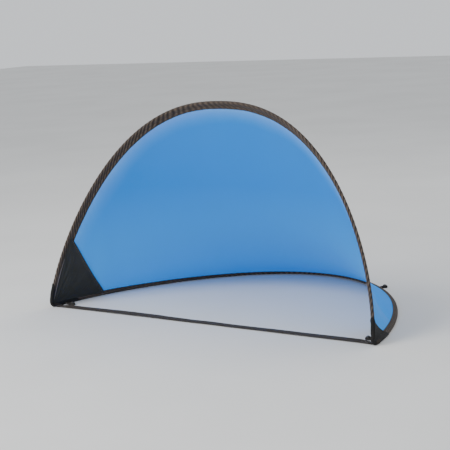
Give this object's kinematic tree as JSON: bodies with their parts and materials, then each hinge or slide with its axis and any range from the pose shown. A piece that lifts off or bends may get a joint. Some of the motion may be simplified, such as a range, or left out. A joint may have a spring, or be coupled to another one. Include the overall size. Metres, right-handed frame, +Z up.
{
  "type": "pop-up sports goal",
  "caption": "Pop-up lawn goal: one spring-wire loop bent into a leaning arch and a ground hoop, fabric stretched between them, goal-line strap, ground pegs.",
  "frame": {"origin": "on the ground under the middle of the goal-line strap, between the two front corners", "axes": "+X right along the goal line seen from in front, +Y back into the goal, +Z up"},
  "size_m": [1.1992, 0.7418, 0.8041],
  "materials": {
    "panel_fabric": "coated woven polyester, soft sheen",
    "black_fabric": "matt woven polyester",
    "edge_tape": "ruched binding tape",
    "webbing": "flat woven webbing",
    "spring_wire": "drawn spring steel",
    "ferrule": "crimped",
    "peg_plastic": "moulded"
  },
  "bodies": {
    "ground_hoop": {"hoop_wire": "spring_wire", "wire_ferrule": "ferrule", "hoop_sleeve": "edge_tape", "corner_sleeve_right": "black_fabric", "corner_sleeve_left": "black_fabric", "hoop_hem": "edge_tape", "rear_panel": "panel_fabric", "gusset_right": "black_fabric", "gusset_left": "black_fabric", "corner_patch_right": "black_fabric", "corner_patch_left": "black_fabric", "goal_line_strap": "webbing", "peg_loop_front_right": "webbing", "peg_loop_front_left": "webbing", "peg_loop_rear_right": "webbing", "peg_loop_rear_left": "webbing"},
    "front_arch": {"arch_wire": "spring_wire", "arch_sleeve": "edge_tape", "arch_hem": "edge_tape"},
    "ground_peg_front_right": {"ground_peg_front_right": "peg_plastic"},
    "ground_peg_front_left": {"ground_peg_front_left": "peg_plastic"},
    "ground_peg_rear_right": {"ground_peg_rear_right": "peg_plastic"},
    "ground_peg_rear_left": {"ground_peg_rear_left": "peg_plastic"}
  },
  "joints": [
    {"name": "arch_fold", "type": "hinge", "parent": "ground_hoop", "child": "front_arch", "pos_m": [0, -0.024, 0.017], "axis": [-1, 0, 0], "range_deg": [0, 73], "stiffness_Nm_per_rad": 10, "deforming": ["rear_panel", "hoop_hem", "arch_hem", "gusset_right", "gusset_left", "corner_patch_right", "corner_patch_left", "corner_sleeve_right", "corner_sleeve_left"]},
    {"name": "pull_ground_peg_front_right", "type": "slide", "parent": "ground_hoop", "child": "ground_peg_front_right", "axis": [0, 0, 1], "range_m": [0, 0.145]},
    {"name": "pull_ground_peg_front_left", "type": "slide", "parent": "ground_hoop", "child": "ground_peg_front_left", "axis": [0, 0, 1], "range_m": [0, 0.145]},
    {"name": "pull_ground_peg_rear_right", "type": "slide", "parent": "ground_hoop", "child": "ground_peg_rear_right", "axis": [0, 0, 1], "range_m": [0, 0.145]},
    {"name": "pull_ground_peg_rear_left", "type": "slide", "parent": "ground_hoop", "child": "ground_peg_rear_left", "axis": [0, 0, 1], "range_m": [0, 0.145]}
  ]
}
